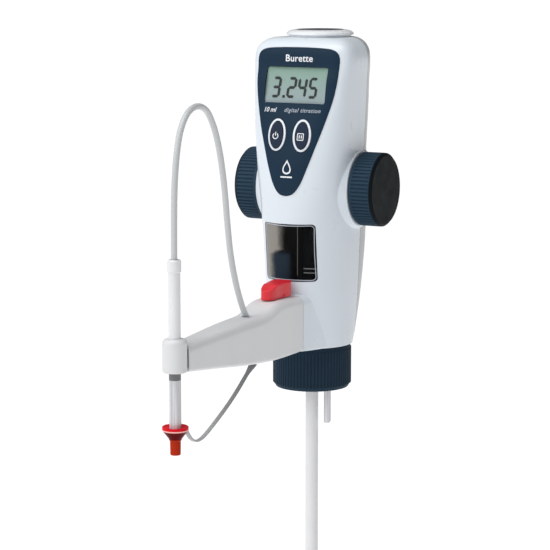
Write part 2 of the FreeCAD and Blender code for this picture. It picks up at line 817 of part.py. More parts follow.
def hose_shape(points, radius):
    """Round hose along straight runs joined by tangent arcs."""
    runs = [(points[i + 1] - points[i]).Length for i in range(len(points) - 1)]
    edges = []
    radii = []
    at = points[0]
    for i in range(1, len(points) - 1):
        a = (points[i] - points[i - 1]).normalize()
        b = (points[i + 1] - points[i]).normalize()
        turn = a.getAngle(b)
        bend = 0.45 * min(runs[i - 1], runs[i]) / math.tan(turn / 2)
        radii.append(bend)
        cut_back = bend * math.tan(turn / 2)
        start = points[i] - a * cut_back
        end = points[i] + b * cut_back
        inward = (b - a).normalize()
        mid = points[i] + inward * (bend / math.cos(turn / 2) - bend)
        edges.append(Part.LineSegment(at, start).toShape())
        edges.append(Part.Arc(start, mid, end).toShape())
        at = end
    edges.append(Part.LineSegment(at, points[-1]).toShape())
    spine = Part.Wire(edges)
    direction = points[1] - points[0]
    profile = Part.Wire(Part.Circle(points[0], direction, radius).toShape())
    swept = spine.makePipeShell([profile], True, False)
    length = spine.Length
    print("hose radii", [round(r, 1) for r in radii])
    share = swept.Volume / (math.pi * radius**2 * length)
    print("hose length", round(length, 2), "volume share", round(share, 4))
    return swept


def make_strap():
    """Flat strap that hangs between the arm and the tip cap."""
    centre = Part.BSplineCurve()
    centre.interpolate(Points=route_points(STRAP_LINE))
    u0, u1 = centre.FirstParameter, centre.LastParameter
    above, below = [], []
    count = 26
    for i in range(count + 1):
        u = u0 + (u1 - u0) * i / count
        p = centre.value(u)
        d = centre.tangent(u)[0]
        n = V(0, -d.z, d.y)
        above.append(p + n * (STRAP_T / 2))
        below.append(p - n * (STRAP_T / 2))
    top = Part.BSplineCurve()
    top.interpolate(Points=above)
    low = Part.BSplineCurve()
    low.interpolate(Points=below)
    wire = Part.Wire(
        [
            top.toShape(),
            Part.LineSegment(above[-1], below[-1]).toShape(),
            low.toShape(),
            Part.LineSegment(below[0], above[0]).toShape(),
        ]
    )
    band = Part.Face(wire)
    band.translate(V(-STRAP_W / 2, 0, 0))
    print("strap length", round(centre.toShape().Length, 1))
    return band.extrude(V(STRAP_W, 0, 0))


# ---- build every node ----
export("collar", make_collar())
export("bottle_gasket", tube(21.4, 15.0, 20.4, 22.9).cut(cyl(3.0, 20, 24, 12.0, 0.0)))
export("valve_block", make_valve_block())
export("inlet_valve_seat", make_inlet_seat())
export("inlet_ball", Part.makeSphere(2.2, V(0, 0, 17.3)))
export("filling_tube_upper", tube(FILL_R - 0.02, FILL_BORE, FILL_Z0, 13.9))
lower = tube(FILL_LOW_R, 2.3, FILL_LOW_Z, -2.0)
bevel = box(-6, 6, -6, 6, -10, 0)
bevel.rotate(V(0, 0, 0), X_AXIS, 32)
bevel.translate(V(0, 0, FILL_LOW_Z))
export("filling_tube_lower", lower.cut(bevel))
export("recirculation_tube", make_recirculation_tube())

export("glass_cylinder", tube(CYL_R, BORE_R, CYL_Z0, CYL_Z1))
export("cylinder_nut", make_cylinder_nut())
head = cyl(6.2, PISTON_Z0 + 0.6, PISTON_Z0 + PISTON_H)
export("piston_head", head)
seal = revolve(
    [
        (0.0, PISTON_Z0),
        (BORE_R - 0.9, PISTON_Z0),
        (BORE_R - 0.06, PISTON_Z0 + 0.9),
        (BORE_R - 0.06, PISTON_Z0 + 2.2),
        (BORE_R - 0.5, PISTON_Z0 + 2.8),
        (BORE_R - 0.5, PISTON_Z0 + 4.6),
        (BORE_R - 0.06, PISTON_Z0 + 5.2),
        (BORE_R - 0.06, PISTON_Z0 + PISTON_H),
        (6.2, PISTON_Z0 + PISTON_H),
        (6.2, PISTON_Z0 + 0.6),
        (0.0, PISTON_Z0 + 0.6),
    ]
)
export("piston_seal", seal)
export("piston_rack", make_rack())
export("rack_guide", make_rack_guide())
export("pinion", make_pinion())
export("drive_shaft", cyl_x(SHAFT_R, -WHEEL_X1 + 3.2, WHEEL_X1 - 3.2))
bush_r = SHAFT_R + 0.05
bush = revolve_x([(27.0, bush_r), (27.0, 7.4), (28.3, 7.4), (28.3, 5.98), (BOSS_X, 5.98), (BOSS_X, bush_r)])
export("shaft_bushes", [bush, bush.mirror(V(0, 0, 0), X_AXIS)])
disc = cyl_x(9.5, 13.0, 14.0)
for i in range(24):
    slot = box(12.0, 15.0, DRIVE_Y - 0.4, DRIVE_Y + 0.4, DRIVE_Z + 6.4, DRIVE_Z + 8.6)
    slot.rotate(V(0, DRIVE_Y, DRIVE_Z), X_AXIS, 15 * i)
    disc = disc.cut(slot)
disc = disc.fuse(cyl_x(4.6, 12.0, 16.0)).removeSplitter()
export("encoder_disc", disc.cut(cyl_x(SHAFT_R, 0, 30)))
sensor = box(10.6, 16.6, DRIVE_Y - 3.0, DRIVE_Y + 3.0, DRIVE_Z - 13.5, DRIVE_Z - 6.2)
sensor = sensor.cut(box(12.2, 14.8, DRIVE_Y - 4.0, DRIVE_Y + 4.0, DRIVE_Z - 11.0, DRIVE_Z - 5.0))
export("encoder_sensor", sensor.cut(cyl_x(5.4, 0, 30)))
export("handwheel_right", make_wheel(1))
export("handwheel_left", make_wheel(-1))

front_shell, rear_shell = make_housing()
export("housing_front", front_shell)
export("housing_rear", rear_shell)
screws = []
for sx, sz in screw_places():
    screw = cyl_y(2.9, 18.02, 20.4, sx, sz).fuse(cyl_y(1.5, -2.0, 18.1, sx, sz)).removeSplitter()
    screw = screw.cut(box(sx - 2.0, sx + 2.0, 19.4, 21.0, sz - 0.35, sz + 0.35))
    screw = screw.cut(box(sx - 0.35, sx + 0.35, 19.4, 21.0, sz - 2.0, sz + 2.0))
    screws.append(screw)
export("housing_screws", screws)
export("top_cap_ring", make_top_ring())
cap_pts = [(0, 3.5), (16.65, 3.5), (16.65, 4.7), (16.2, 5.0), (0, 5.0)]
export("top_cap_disc", revolve([(r, TOP_Z + z) for r, z in cap_pts], 0.0, 11.3))
export("display_panel", make_panel())
export("lcd_glass", leaning(rounded_plate(LCD_W / 2 - 0.05, LCD_H / 2 - 0.05, 1.4, 1.0, 1.7)))
cell_front = rounded_plate(LCD_W / 2 - 0.05, LCD_H / 2 - 0.05, 1.4, 1.92, 3.1)
cell_body = rounded_plate(LCD_W / 2 + 2.0, LCD_H / 2 + 2.0, 2.4, 3.0, 6.4)
export("lcd_module", leaning(cell_front.fuse(cell_body).removeSplitter()))
export("button_rings", [button_ring(-BUTTON_X), button_ring(BUTTON_X)])
export("button_power", button_key(-BUTTON_X))
export("button_stop", button_key(BUTTON_X))
board = rounded_plate(20.5, 31.0, 2.0, 6.42, 8.0, 0, -15.0)
export("circuit_board", leaning(board))
switches = []
for x in (-BUTTON_X, BUTTON_X):
    switches.append(leaning(rounded_plate(3.0, 3.0, 0.5, 5.0, 6.4, x, BUTTON_H)))
export("button_switches", switches)
tray = box(-14.4, 14.4, 18.0, 32.0, 160.2, 214.8).cut(box(-13.2, 13.2, 19.2, 40.0, 161.4, 213.6))
tray = tray.common(body_loft(-WALL - 0.02, 150.0, 225.0))
export("battery_tray", tray)
cells = []
for x in (-6.4, 6.4):
    cell = cyl(5.15, 163.4, 207.9, x, 25.0).fuse(cyl(1.9, 207.8, 209.3, x, 25.0))
    cells.append(cell.removeSplitter())
export("batteries", cells)
contacts = []
for x in (-6.4, 6.4):
    contacts.append(box(x - 3.5, x + 3.5, 21.0, 29.0, 161.42, 162.0))
    contacts.append(box(x - 3.5, x + 3.5, 21.0, 29.0, 212.6, 213.58))
export("battery_contacts", contacts)
export("battery_door", make_door())
export("inspection_window", make_window())

socket = cyl_y(5.2, 27.52, 35.0, 0, 45.0).fuse(cyl_y(3.03, 20.0, 27.6, 0, 45.0))
export("vent_socket", socket.cut(cyl_y(1.5, 19.0, 36.0, 0, 45.0)))
cap = cyl_y(6.9, 31.9, 38.6, 0, 45.0).cut(cyl_y(5.25, 30.0, 35.4, 0, 45.0))
for i in range(16):
    groove = cyl_y(0.5, 31.0, 39.0, 7.0, 45.0)
    groove.rotate(V(0, 0, 45), Y_AXIS, 22.5 * i)
    cap = cap.cut(groove)
export("vent_cap", cap)

export("arm_shell", make_arm())
export("valve_body", make_valve_body())
export("valve_plug", make_valve_plug())
export("valve_knob", make_knob())
export("bar_guide", make_bar_guide())
export("extension_bar", make_bar())
export("tube_holder", make_holder())
export("cannula_sleeve", make_sleeve())
export("cannula_band", tube(TUBE_R, TUBE_BORE, BAND_LOW, SLEEVE_LOW - 0.02, 0, -TUBE_T))
export("cannula_tube", tube(TUBE_R, TUBE_BORE, 2.2, BAND_LOW - 0.02, 0, -TUBE_T))
tip_pts = [
    (TUBE_BORE, 2.18),
    (TUBE_BORE, 1.4),
    (1.0, -0.6),
    (0.7, -5.6),
    (1.3, -5.6),
    (2.2, -0.6),
    (3.3, 1.7),
    (TUBE_R, 2.18),
]
export("cannula_tip", revolve(tip_pts, 0.0, -TUBE_T))
export("tip_cap", make_cap())
export("cap_strap", make_strap())
anchor = fused([cyl(1.9, 31.0, 35.5, 0, -89.6), cyl(2.9, 35.4, 37.0, 0, -89.6)])
export("strap_anchor", anchor)
export("delivery_hose", hose_shape(route_points(HOSE_ROUTE), HOSE_R))
grommet = slot_column(HOLE_HALF_W - 0.02, HOLE_HALF_L - 0.02, 61.6, 64.3)
export("hose_grommet", grommet.cut(slot_column(HOLE_HALF_W - 0.75, HOLE_HALF_L - 0.75, 60.0, 66.0)))
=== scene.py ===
"""Looks for a digital bottle-top burette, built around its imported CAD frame.

Metres, +Z up, display facing -Y, the handwheels' axis along X.
"""

import math

import bpy
import bmesh
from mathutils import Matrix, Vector
from mathutils.bvhtree import BVHTree


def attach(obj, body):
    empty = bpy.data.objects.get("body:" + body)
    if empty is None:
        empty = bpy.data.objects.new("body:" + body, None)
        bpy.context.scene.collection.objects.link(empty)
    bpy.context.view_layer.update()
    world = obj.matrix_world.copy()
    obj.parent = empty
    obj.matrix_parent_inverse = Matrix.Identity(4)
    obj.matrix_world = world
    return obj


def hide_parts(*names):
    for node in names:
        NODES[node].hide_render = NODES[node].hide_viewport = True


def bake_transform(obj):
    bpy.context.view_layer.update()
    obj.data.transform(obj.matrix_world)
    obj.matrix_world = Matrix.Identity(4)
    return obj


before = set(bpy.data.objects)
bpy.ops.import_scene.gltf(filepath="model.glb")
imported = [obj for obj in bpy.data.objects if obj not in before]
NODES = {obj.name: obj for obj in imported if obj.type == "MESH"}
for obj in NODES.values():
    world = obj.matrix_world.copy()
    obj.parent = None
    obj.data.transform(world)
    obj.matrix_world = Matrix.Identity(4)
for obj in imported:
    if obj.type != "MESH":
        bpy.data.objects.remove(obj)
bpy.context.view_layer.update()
MM = 0.001

# ---- camera ----
CAMERA_AT = (0.63445, -1.30257, 0.30730)
LOOK_AZIMUTH = math.radians(27.0)
LOOK_DOWN = math.radians(9.0)
LENS = 137.45
SENSOR_WIDTH = 36.0

look = Vector(
    (
        -math.sin(LOOK_AZIMUTH) * math.cos(LOOK_DOWN),
        math.cos(LOOK_AZIMUTH) * math.cos(LOOK_DOWN),
        -math.sin(LOOK_DOWN),
    )
)
camera_data = bpy.data.cameras.new("camera")
camera_data.lens = LENS
camera_data.sensor_width = SENSOR_WIDTH
camera_data.clip_start = 0.05
camera_data.clip_end = 60.0
camera = bpy.data.objects.new("camera", camera_data)
bpy.context.scene.collection.objects.link(camera)
camera.location = CAMERA_AT
camera.rotation_mode = "QUATERNION"
camera.rotation_quaternion = look.to_track_quat("-Z", "Y")
bpy.context.scene.camera = camera
bpy.context.scene.view_settings.view_transform = "Standard"
bpy.context.scene.view_settings.look = "None"


# ---- node material helpers ----
def rgb(red, green, blue):
    """Display colour, 0 to 255, as a linear colour."""
    out = []
    for c in (red, green, blue):
        c = c / 255.0
        out.append(c / 12.92 if c <= 0.04045 else ((c + 0.055) / 1.055) ** 2.4)
    return (*out, 1.0)


WHITE = (1.0, 1.0, 1.0, 1.0)


def set_range(node, low, high, to_low, to_high):
    """Set a Map Range node's four limits."""
    for key, number in zip(("From Min", "From Max", "To Min", "To Max"), (low, high, to_low, to_high)):
        node.inputs[key].default_value = number


class Nodes:
    """Short ways of adding linked nodes to one material."""

    def __init__(self, name):
        self.material = bpy.data.materials.new(name)
        self.material.use_nodes = True
        self.tree = self.material.node_tree
        self.shader = self.tree.nodes["Principled BSDF"]
        texture_coordinates = self.tree.nodes.new("ShaderNodeTexCoord")
        self.coords = texture_coordinates.outputs["Object"]
        self.normal = texture_coordinates.outputs["Normal"]

    def link(self, out, into):
        self.tree.links.new(out, into)

    def scaled(self, scale):
        node = self.tree.nodes.new("ShaderNodeMapping")
        node.inputs["Scale"].default_value = scale
        self.link(self.coords, node.inputs["Vector"])
        return node.outputs["Vector"]

    def noise(self, scale, detail=3.0, roughness=0.5, vector=None):
        node = self.tree.nodes.new("ShaderNodeTexNoise")
        node.inputs["Scale"].default_value = scale
        node.inputs["Detail"].default_value = detail
        node.inputs["Roughness"].default_value = roughness
        self.link(vector or self.coords, node.inputs["Vector"])
        return node.outputs["Fac"]

    def math(self, operation, a, b=None, clamp=False):
        node = self.tree.nodes.new("ShaderNodeMath")
        node.operation = operation
        node.use_clamp = clamp
        for i, value in enumerate((a, b)):
            if value is None:
                continue
            if isinstance(value, (int, float)):
                node.inputs[i].default_value = value
            else:
                self.link(value, node.inputs[i])
        return node.outputs[0]

    def ranged(self, value, low, high, to_low, to_high):
        node = self.tree.nodes.new("ShaderNodeMapRange")
        self.link(value, node.inputs["Value"])
        set_range(node, low, high, to_low, to_high)
        return node.outputs["Result"]

    def mix(self, share, a, b):
        node = self.tree.nodes.new("ShaderNodeMix")
        node.data_type = "RGBA"
        if isinstance(share, (int, float)):
            node.inputs[0].default_value = share
        else:
            self.link(share, node.inputs[0])
        for i, value in ((6, a), (7, b)):
            if isinstance(value, tuple):
                node.inputs[i].default_value = value
            else:
                self.link(value, node.inputs[i])
        return node.outputs[2]

    def axis(self, index):
        node = self.tree.nodes.new("ShaderNodeSeparateXYZ")
        self.link(self.coords, node.inputs[0])
        return node.outputs[index]

    def bump(self, height, strength, distance):
        node = self.tree.nodes.new("ShaderNodeBump")
        node.inputs["Strength"].default_value = strength
        node.inputs["Distance"].default_value = distance
        self.link(height, node.inputs["Height"])
        self.link(node.outputs["Normal"], self.shader.inputs["Normal"])

    def set(self, **values):
        for key, value in values.items():
            self.shader.inputs[key.replace("_", " ")].default_value = value


def shade(colour, factor):
    return (*(min(1.0, c * factor) for c in colour[:3]), 1.0)


GRAIN = 1400.0
FINE_GRAIN = 2200.0


def plastic(
    name, colour, rough, grain=0.04, grain_scale=GRAIN, cloud=0.04, coat=0.0, extra=None, **values
):
    """Moulded plastic: faint colour clouding, uneven gloss and a fine spark-eroded grain."""
    n = Nodes(name)
    clouds = n.noise(38.0, 4.0)
    share = n.ranged(clouds, 0.3, 0.7, 0.0, 1.0)
    base = n.mix(share, shade(colour, 1 - cloud), shade(colour, 1 + cloud))
    if extra:
        base = extra(n, base)
    n.link(base, n.shader.inputs["Base Color"])
    gloss = n.noise(120.0, 5.0, 0.6)
    n.link(n.ranged(gloss, 0.25, 0.75, rough * 0.85, rough * 1.18), n.shader.inputs["Roughness"])
    n.bump(n.noise(grain_scale, 2.0, 0.6), grain, 0.00003)
    n.set(Coat_Weight=coat, Coat_Roughness=0.1, **values)
    return n.material


# Places on the part that a colour changes at, in metres
SEAM_Y = 0.011
WINDOW_REACH_LOW = (0.050, 0.054)
WINDOW_REACH_HIGH = (0.116, 0.120)
LEFT_WALL_X = (-0.019, -0.008)
LCD_HEIGHT = (0.200, 0.223)
# Where the painted reflection on the window steps down, and where its edge lies
REFLECTION_STEP_Z = (0.097, 0.101)
REFLECTION_EDGE_X = (-0.0125, -0.0045)
WHEEL_FACE_X = (0.0500, 0.0508)
STRAP_SHADE_Y = (-0.150, -0.100)
CAP_RIM_Z = 0.0077
CAP_STEM_Z = 0.0010


def painted_shade_inside(n, base):
    """Painted shade on the inner walls behind the window, and a painted grey-brown reflection on the left
    inner wall; outer walls and edges keep the shell's colour.

    A wall faces inward where its level normal points back at the part's own upright axis.
    """
    level = []
    for out in (n.normal, n.coords):
        node = n.tree.nodes.new("ShaderNodeVectorMath")
        node.operation = "MULTIPLY"
        node.inputs[1].default_value = (1.0, 1.0, 0.0)
        n.link(out, node.inputs[0])
        unit = n.tree.nodes.new("ShaderNodeVectorMath")
        unit.operation = "NORMALIZE"
        n.link(node.outputs[0], unit.inputs[0])
        level.append(unit.outputs[0])
    dot = n.tree.nodes.new("ShaderNodeVectorMath")
    dot.operation = "DOT_PRODUCT"
    n.link(level[0], dot.inputs[0])
    n.link(level[1], dot.inputs[1])
    inward = n.ranged(dot.outputs["Value"], -0.62, -0.74, 0.0, 1.0)
    z = n.axis(2)
    above = n.ranged(z, *WINDOW_REACH_LOW, 0.0, 1.0)
    below = n.ranged(z, *WINDOW_REACH_HIGH, 1.0, 0.0)
    inward = n.math("MULTIPLY", inward, n.math("MULTIPLY", above, below))
    # Painted reflection in grey-brown towards the left wall, and near-black painted shade elsewhere inside.
    side = n.ranged(n.axis(0), *LEFT_WALL_X, 0.0, 1.0)
    return n.mix(inward, base, n.mix(side, rgb(178, 168, 158), rgb(26, 28, 31)))


def seam_and_painted_shade(n, base):
    """A fine dark line where the two shells meet, and painted shade on the inner walls."""
    off = n.math("ABSOLUTE", n.math("SUBTRACT", n.axis(1), SEAM_Y))
    line = n.ranged(off, 0.00014, 0.00034, 1.0, 0.0)
    return painted_shade_inside(n, n.mix(line, base, rgb(120, 124, 130)))


def lcd_cell(n, base):
    """Grey-green reflective cell with a faint vertical shading and unlit segments' haze."""
    height = n.ranged(n.axis(2), *LCD_HEIGHT, 0.0, 1.0)
    shaded = n.mix(height, rgb(152, 166, 171), rgb(128, 162, 146))
    return n.mix(n.ranged(n.noise(420.0, 2.0), 0.35, 0.65, 0.0, 0.12), shaded, base)


def streaks(dark, light):
    """Long soft streaks along the height of a drawn plastic tube."""

    def add(n, base):
        lines = n.noise(1.0, 3.0, 0.5, n.scaled((900.0, 900.0, 18.0)))
        return n.mix(n.ranged(lines, 0.35, 0.65, 0.0, 1.0), dark, light)

    return add


def turned(name, colour, rough):
    """Turned metal: fine rings round the X axis and a slightly uneven polish."""
    n = Nodes(name)
    rings = n.noise(1.0, 2.0, 0.5, n.scaled((4200.0, 300.0, 300.0)))
    n.link(n.mix(rings, shade(colour, 0.85), shade(colour, 1.1)), n.shader.inputs["Base Color"])
    n.link(n.ranged(rings, 0.3, 0.7, rough * 0.7, rough * 1.4), n.shader.inputs["Roughness"])
    n.bump(rings, 0.2, 0.00003)
    n.set(Metallic=1.0)
    return n.material


def film(name, colour, alpha, rough, extra=None, **values):
    """Thin clear wall that lets part of the light straight through, with a faint waviness."""
    n = Nodes(name)
    waves = n.noise(30.0, 2.0)
    n.link(n.ranged(waves, 0.3, 0.7, rough * 0.6, rough * 1.5), n.shader.inputs["Roughness"])
    base = n.mix(waves, shade(colour, 0.94), colour)
    n.link(extra(n, base) if extra else base, n.shader.inputs["Base Color"])
    n.bump(n.noise(60.0, 2.0), 0.03, 0.0001)
    n.set(Alpha=alpha, **values)
    return n.material


def painted_window_reflection(n, base):
    """Painted reflections on the window: a grey-brown one on its curved left part, and a deep blue one low
    down.
    """
    x, z = n.axis(0), n.axis(2)
    wave = n.math("MULTIPLY", n.math("SUBTRACT", n.noise(160.0, 2.0), 0.5), 0.004)
    wavy = n.math("ADD", x, wave)
    edge = n.ranged(z, *REFLECTION_STEP_Z, *REFLECTION_EDGE_X)
    share = n.ranged(n.math("SUBTRACT", wavy, edge), -0.003, 0.0035, 0.95, 0.0)
    under = n.ranged(z, REFLECTION_STEP_Z[0], 0.100, 0.8, 0.0)
    low = n.math("MULTIPLY", under, n.ranged(x, 0.001, 0.004, 1.0, 0.0))
    n.link(n.ranged(share, 0.0, 0.95, 0.36, 0.9), n.shader.inputs["Alpha"])
    return n.mix(share, n.mix(low, base, rgb(50, 70, 88)), rgb(150, 146, 140))


def strap_painted_shade(n, base):
    """Rubber with painted shade: darker under the arm than at the cap."""
    return n.mix(n.ranged(n.axis(1), *STRAP_SHADE_Y, 0.0, 0.6), base, rgb(70, 71, 72))


def wheel_face_painted_shade(n, base):
    """Painted shade: the flat outer face of a handwheel is painted nearly black beside its ribbed rim."""
    out = n.math("ABSOLUTE", n.axis(0))
    return n.mix(n.ranged(out, *WHEEL_FACE_X, 0.0, 1.0), base, rgb(16, 23, 27))


def cap_painted_light(n, base):
    """Painted light on one red cap: a bright flange with a painted highlight along its edge, painted shade
    on the cone under it and a painted orange glow in the thin stem.
    """
    z = n.axis(2)
    stem = n.ranged(z, CAP_STEM_Z, CAP_STEM_Z + 0.0014, 0.0, 1.0)
    low = n.mix(stem, rgb(182, 48, 22), rgb(92, 6, 10))
    flange = n.ranged(z, CAP_RIM_Z - 0.0004, CAP_RIM_Z - 0.0002, 0.0, 1.0)
    whole = n.mix(flange, low, base)
    off = n.math("ABSOLUTE", n.math("SUBTRACT", z, CAP_RIM_Z))
    return n.mix(n.ranged(off, 0.0003, 0.0005, 1.0, 0.0), whole, rgb(255, 196, 188))


M = {
    "white_shell": plastic(
        "white_shell", rgb(220, 228, 236), 0.30, 0.02, extra=seam_and_painted_shade, cloud=0.008, coat=0.2, IOR=1.45
    ),
    "rear_shell": plastic(
        "rear_shell", rgb(186, 188, 190), 0.34, 0.02, extra=seam_and_painted_shade, cloud=0.008, coat=0.15, IOR=1.45
    ),
    "cap_white": plastic("cap_white", rgb(232, 235, 238), 0.28, 0.02, cloud=0.008, coat=0.2),
    "arm_grey": plastic("arm_grey", rgb(221, 222, 224), 0.38, 0.04, cloud=0.012, coat=0.05),
    "dark_blue": plastic(
        "dark_blue", rgb(36, 53, 68), 0.50, 0.10, FINE_GRAIN, cloud=0.08, Specular_IOR_Level=0.05
    ),
    # Lighter than dark_blue: painted light on the lit ribbed rims. The outer faces get painted shade.
    "wheel_blue": plastic(
        "wheel_blue", rgb(44, 64, 80), 0.50, 0.10, FINE_GRAIN, cloud=0.08, extra=wheel_face_painted_shade,
        Specular_IOR_Level=0.05,
    ),
    "panel_navy": plastic(
        "panel_navy", rgb(27, 48, 66), 0.42, 0.03, FINE_GRAIN, cloud=0.04, Specular_IOR_Level=0.10
    ),
    "key_navy": plastic(
        "key_navy", rgb(32, 44, 64), 0.50, 0.10, FINE_GRAIN, cloud=0.06, Specular_IOR_Level=0.15
    ),
    "pale_ring": plastic("pale_ring", rgb(226, 231, 238), 0.24, 0.02, cloud=0.02, coat=0.4),
    "print_white": plastic("print_white", rgb(232, 235, 240), 0.50, 0.04, cloud=0.02),
    # Glows a little: painted light that brightens the marks behind the smoked window.
    "mark_white_glow": plastic(
        "mark_white_glow", rgb(232, 235, 240), 0.50, 0.04, cloud=0.02, Emission_Color=WHITE,
        Emission_Strength=0.3,
    ),
    "print_dim": plastic("print_dim", rgb(176, 184, 196), 0.50, 0.04, cloud=0.02),
    "lcd": plastic(
        "lcd", rgb(152, 171, 175), 0.45, 0.02, cloud=0.01, extra=lcd_cell, Specular_IOR_Level=0.3
    ),
    "segment": plastic(
        "segment", rgb(10, 14, 18), 0.50, 0.04, cloud=0.05, Specular_IOR_Level=0.1
    ),
    "display_glass": film("display_glass", rgb(180, 198, 192), 0.04, 0.10, Specular_IOR_Level=0.2),
    "smoked": film("smoked", rgb(7, 9, 11), 0.5, 0.06, extra=painted_window_reflection, Specular_IOR_Level=0.08),
    "borosilicate": film("borosilicate", rgb(60, 64, 68), 0.2, 0.04, Specular_IOR_Level=0.3),
    "red_knob": plastic("red_knob", rgb(224, 34, 48), 0.38, 0.04, cloud=0.04, coat=0.08),
    "red_cap": plastic(
        "red_cap", rgb(220, 26, 42), 0.30, 0.02, cloud=0.06, extra=cap_painted_light, Specular_IOR_Level=0.04
    ),
    "white_tube": plastic("white_tube", rgb(230, 231, 233), 0.38, 0.03, cloud=0.015),
    "clear_tube": plastic(
        "clear_tube", rgb(214, 216, 219), 0.24, 0.03, Transmission_Weight=0.1,
        extra=streaks(rgb(196, 198, 204), rgb(238, 238, 242)),
    ),
    "hose": plastic("hose", rgb(197, 200, 202), 0.30, 0.0, cloud=0.0),
    "band_grey": plastic("band_grey", rgb(110, 111, 113), 0.40, 0.05, cloud=0.05),
    "dark_plastic": plastic("dark_plastic", rgb(30, 33, 37), 0.46, 0.12, cloud=0.08),
    "disc_dark": plastic("disc_dark", rgb(38, 44, 52), 0.38, 0.12, cloud=0.06),
    "strap_grey": plastic(
        "strap_grey", rgb(174, 176, 177), 0.55, 0.12, cloud=0.05, extra=strap_painted_shade
    ),
    "seal_white": plastic("seal_white", rgb(226, 226, 222), 0.40, 0.05, cloud=0.02),
    "steel": turned("steel", (0.62, 0.63, 0.65, 1.0), 0.28),
    "brass": turned("brass", (0.70, 0.52, 0.24, 1.0), 0.30),
    "ceramic": plastic("ceramic", rgb(238, 238, 232), 0.14, 0.02, cloud=0.01, coat=0.5),
    "board_green": plastic("board_green", rgb(24, 92, 58), 0.35, 0.10, 900.0, cloud=0.15, coat=0.4),
    "cell": plastic("cell", rgb(58, 64, 74), 0.30, 0.04, cloud=0.08, coat=0.5),
}

BY_NODE = {
    "collar": "dark_blue",
    "bottle_gasket": "seal_white",
    "valve_block": "seal_white",
    "inlet_valve_seat": "ceramic",
    "filling_tube_upper": "white_tube",
    "filling_tube_lower": "clear_tube",
    "recirculation_tube": "clear_tube",
    "glass_cylinder": "borosilicate",
    "cylinder_nut": "dark_plastic",
    "rack_guide": "dark_plastic",
    "shaft_bushes": "seal_white",
    "encoder_sensor": "dark_plastic",
    "housing_front": "white_shell",
    "housing_rear": "rear_shell",
    "housing_screws": "steel",
    "top_cap_ring": "cap_white",
    "top_cap_disc": "disc_dark",
    "display_panel": "panel_navy",
    "lcd_glass": "display_glass",
    "lcd_module": "lcd",
    "button_rings": "pale_ring",
    "circuit_board": "board_green",
    "button_switches": "dark_plastic",
    "battery_tray": "dark_plastic",
    "batteries": "cell",
    "battery_contacts": "steel",
    "inspection_window": "smoked",
    "vent_socket": "cap_white",
    "arm_shell": "arm_grey",
    "valve_body": "seal_white",
    "bar_guide": "dark_plastic",
    "strap_anchor": "strap_grey",
    "hose_grommet": "arm_grey",
    "handwheel_left": "wheel_blue",
    "handwheel_right": "wheel_blue",
    "drive_shaft": "steel",
    "pinion": "brass",
    "encoder_disc": "dark_plastic",
    "piston_rack": "dark_plastic",
    "piston_head": "dark_plastic",
    "piston_seal": "seal_white",
    "inlet_ball": "ceramic",
    "button_power": "key_navy",
    "button_stop": "key_navy",
    "valve_plug": "ceramic",
    "extension_bar": "arm_grey",
    "tube_holder": "arm_grey",
    "cannula_sleeve": "white_tube",
    "cannula_band": "band_grey",
    "cannula_tube": "clear_tube",
    "cannula_tip": "seal_white",
    "tip_cap": "red_cap",
    "battery_door": "rear_shell",
    "vent_cap": "dark_blue",
}
for node_name, key in BY_NODE.items():
    mesh = NODES[node_name].data
    mesh.materials.clear()
    mesh.materials.append(M[key])


# ---- mesh helpers ----
def place(name, verts, faces, key, body, smooth=30.0):
    """New mesh piece with a material; body None leaves it unattached."""
    mesh = bpy.data.meshes.new(name)
    mesh.from_pydata([tuple(v) for v in verts], [], faces)
    bm = bmesh.new()
    bm.from_mesh(mesh)
    bmesh.ops.recalc_face_normals(bm, faces=bm.faces)
    bm.to_mesh(mesh)
    bm.free()
    mesh.materials.append(M[key])
    obj = bpy.data.objects.new(name, mesh)
    bpy.context.scene.collection.objects.link(obj)
    for p in mesh.polygons:
        p.use_smooth = smooth > 0
    if smooth > 0:
        mesh.set_sharp_from_angle(angle=math.radians(smooth))
    if body:
        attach(obj, body)
    return obj


def tree_of(node):
    """Search tree of a CAD node's faces, to cast rays on."""
    mesh = NODES[node].data
    points = [v.co.copy() for v in mesh.vertices]
    return BVHTree.FromPolygons(points, [tuple(p.vertices) for p in mesh.polygons])


PANEL_TREE = tree_of("display_panel")
SHELL_TREE = tree_of("housing_front")


def front_y(tree, x, z):
    """Y of the first surface met from in front at one X and Z, or None."""
    hit = tree.ray_cast(Vector((x, -0.3, z)), Vector((0, 1, 0)))
    return hit[0].y if hit[0] is not None else None


PANEL_TILT = math.radians(13.5)
PANEL_Y = -0.027
PANEL_Z = 0.212
OFF_PANEL_Y = -0.03


def on_panel(x, z, lift):
    """Point lift in front of the display panel at one X and Z."""
    y = front_y(PANEL_TREE, x, z)
    return Vector((x, (y if y is not None else OFF_PANEL_Y) - lift, z))


def in_panel_frame(x, s, depth):
    """Point at X, s up the slope and depth behind the panel's reference plane."""
    c, k = math.cos(PANEL_TILT), math.sin(PANEL_TILT)
    return Vector((x, PANEL_Y + depth * c + s * k, PANEL_Z + s * c - depth * k))


def band(name, outer, inner, spot, low, high, key, body):
    """Closed flat ring between two outlines, low and high above the surface that spot gives."""
    count = len(outer)
    verts = []
    for loop in (outer, inner):
        for lift in (low, high):
            verts += [spot(x, z, lift) for x, z in loop]
    faces = []
    for i in range(count):
        j = (i + 1) % count
        for a, b in ((0, 1), (1, 3), (3, 2), (2, 0)):
            faces.append((a * count + i, a * count + j, b * count + j, b * count + i))
    return place(name, verts, faces, key, body)


def slab(name, outlines, spot, low, high, key, body):
    """Closed flat shapes, one for each outline, joined in one piece."""
    verts, faces = [], []
    for outline in outlines:
        count, start = len(outline), len(verts)
        for lift in (low, high):
            verts += [spot(x, z, lift) for x, z in outline]
        faces.append(tuple(start + i for i in reversed(range(count))))
        faces.append(tuple(start + count + i for i in range(count)))
        for i in range(count):
            j = (i + 1) % count
            faces.append((start + i, start + j, start + count + j, start + count + i))
    return place(name, verts, faces, key, body)


